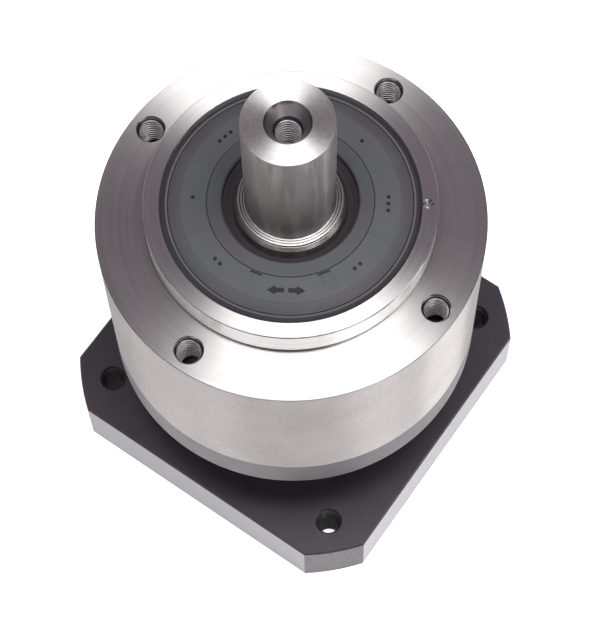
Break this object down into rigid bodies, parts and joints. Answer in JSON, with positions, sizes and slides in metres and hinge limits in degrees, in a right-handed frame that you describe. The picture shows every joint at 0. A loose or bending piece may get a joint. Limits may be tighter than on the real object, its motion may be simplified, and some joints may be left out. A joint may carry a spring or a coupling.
{
  "type": "planetary gearbox",
  "caption": "Single-stage coaxial planetary gearbox with a round output flange and pilot, a plain output shaft, and a square motor plate with a clamping hub.",
  "frame": {"origin": "centre of the motor plate's outer face, which the gearbox stands on", "axes": "+Z along the common axis, from the motor side to the output shaft; X and Y parallel to the plate's sides; the access plug faces +X"},
  "size_m": [0.07, 0.07, 0.111],
  "materials": {
    "housing_metal": "fine turned, bare",
    "dark_housing": "dark grey satin coating",
    "black_plate": "black anodised satin with bare machined sides",
    "shaft_steel": "ground",
    "gear_steel": "cut and hardened",
    "bearing_steel": "polished",
    "spring_steel": "phosphated",
    "screw_steel": "black oxide",
    "bronze": "satin",
    "seal_rubber": "moulded, matte",
    "plug_plastic": "moulded, matte"
  },
  "bodies": {
    "housing": {"output_housing": "housing_metal", "ring_gear": "gear_steel", "input_housing": "dark_housing", "adapter_plate": "black_plate", "housing_screws": "screw_steel", "adapter_screws": "screw_steel", "housing_o_ring": "seal_rubber", "dowel_pins": "bearing_steel", "seal_rubber": "seal_rubber", "seal_case": "bearing_steel", "seal_spring": "bearing_steel", "front_bearing_outer": "bearing_steel", "rear_bearing_outer": "bearing_steel", "input_bearing_outer": "bearing_steel", "input_bearing_shields": "seal_rubber", "bearing_circlip": "spring_steel", "input_circlip": "spring_steel"},
    "carrier": {"carrier_shaft": "shaft_steel", "planet_pins": "bearing_steel", "planet_washers": "bronze", "front_bearing_inner": "bearing_steel", "rear_bearing_inner": "bearing_steel", "shaft_circlip": "spring_steel"},
    "planet_1": {"planet_gear_1": "gear_steel"},
    "planet_2": {"planet_gear_2": "gear_steel"},
    "planet_3": {"planet_gear_3": "gear_steel"},
    "needles_1": {"needle_rollers_1": "bearing_steel"},
    "needles_2": {"needle_rollers_2": "bearing_steel"},
    "needles_3": {"needle_rollers_3": "bearing_steel"},
    "input": {"sun_gear": "gear_steel", "input_hub": "shaft_steel", "clamp_ring": "housing_metal", "input_bearing_inner": "bearing_steel", "hub_circlip": "spring_steel"},
    "clamp_screw": {"clamp_screw": "screw_steel"},
    "front_balls": {"front_bearing_balls": "bearing_steel", "front_bearing_cage": "bronze"},
    "rear_balls": {"rear_bearing_balls": "bearing_steel", "rear_bearing_cage": "bronze"},
    "input_balls": {"input_bearing_balls": "bearing_steel", "input_bearing_cage": "bronze"},
    "access_plug": {"access_plug": "plug_plastic"}
  },
  "joints": [
    {"name": "output_spin", "type": "hinge", "parent": "housing", "child": "carrier", "pos_m": [0, 0, 0.058], "axis": [0, 0, 1], "continuous": true},
    {"name": "input_spin", "type": "hinge", "parent": "housing", "child": "input", "pos_m": [0, 0, 0.0305], "axis": [0, 0, 1], "continuous": true},
    {"name": "planet_1_spin", "type": "hinge", "parent": "carrier", "child": "planet_1", "pos_m": [0.01575, 0, 0.0463], "axis": [0, 0, 1], "continuous": true},
    {"name": "needles_1_spin", "type": "hinge", "parent": "carrier", "child": "needles_1", "pos_m": [0.01575, 0, 0.0463], "axis": [0, 0, 1], "continuous": true},
    {"name": "planet_2_spin", "type": "hinge", "parent": "carrier", "child": "planet_2", "pos_m": [-0.00788, 0.01364, 0.0463], "axis": [0, 0, 1], "continuous": true},
    {"name": "needles_2_spin", "type": "hinge", "parent": "carrier", "child": "needles_2", "pos_m": [-0.00788, 0.01364, 0.0463], "axis": [0, 0, 1], "continuous": true},
    {"name": "planet_3_spin", "type": "hinge", "parent": "carrier", "child": "planet_3", "pos_m": [-0.00788, -0.01364, 0.0463], "axis": [0, 0, 1], "continuous": true},
    {"name": "needles_3_spin", "type": "hinge", "parent": "carrier", "child": "needles_3", "pos_m": [-0.00788, -0.01364, 0.0463], "axis": [0, 0, 1], "continuous": true},
    {"name": "front_balls_spin", "type": "hinge", "parent": "housing", "child": "front_balls", "pos_m": [0, 0, 0.068], "axis": [0, 0, 1], "continuous": true},
    {"name": "rear_balls_spin", "type": "hinge", "parent": "housing", "child": "rear_balls", "pos_m": [0, 0, 0.0585], "axis": [0, 0, 1], "continuous": true},
    {"name": "input_balls_spin", "type": "hinge", "parent": "housing", "child": "input_balls", "pos_m": [0, 0, 0.0305], "axis": [0, 0, 1], "continuous": true},
    {"name": "clamp_screw_turn", "type": "hinge", "parent": "input", "child": "clamp_screw", "pos_m": [0.0045, 0.013, 0.01975], "axis": [1, 0, 0], "range_deg": [0, 360]},
    {"name": "access_plug_pull", "type": "slide", "parent": "housing", "child": "access_plug", "axis": [1, 0, 0], "range_m": [0, 0.014]}
  ],
  "couplings": [
    {"joint": "input_spin", "follows": "output_spin", "ratio": 4},
    {"joint": "planet_1_spin", "follows": "output_spin", "ratio": -3},
    {"joint": "needles_1_spin", "follows": "output_spin", "ratio": -1.8032},
    {"joint": "planet_2_spin", "follows": "output_spin", "ratio": -3},
    {"joint": "needles_2_spin", "follows": "output_spin", "ratio": -1.8032},
    {"joint": "planet_3_spin", "follows": "output_spin", "ratio": -3},
    {"joint": "needles_3_spin", "follows": "output_spin", "ratio": -1.8032},
    {"joint": "front_balls_spin", "follows": "output_spin", "ratio": 0.4254},
    {"joint": "rear_balls_spin", "follows": "output_spin", "ratio": 0.4573},
    {"joint": "input_balls_spin", "follows": "output_spin", "ratio": 1.6491}
  ]
}
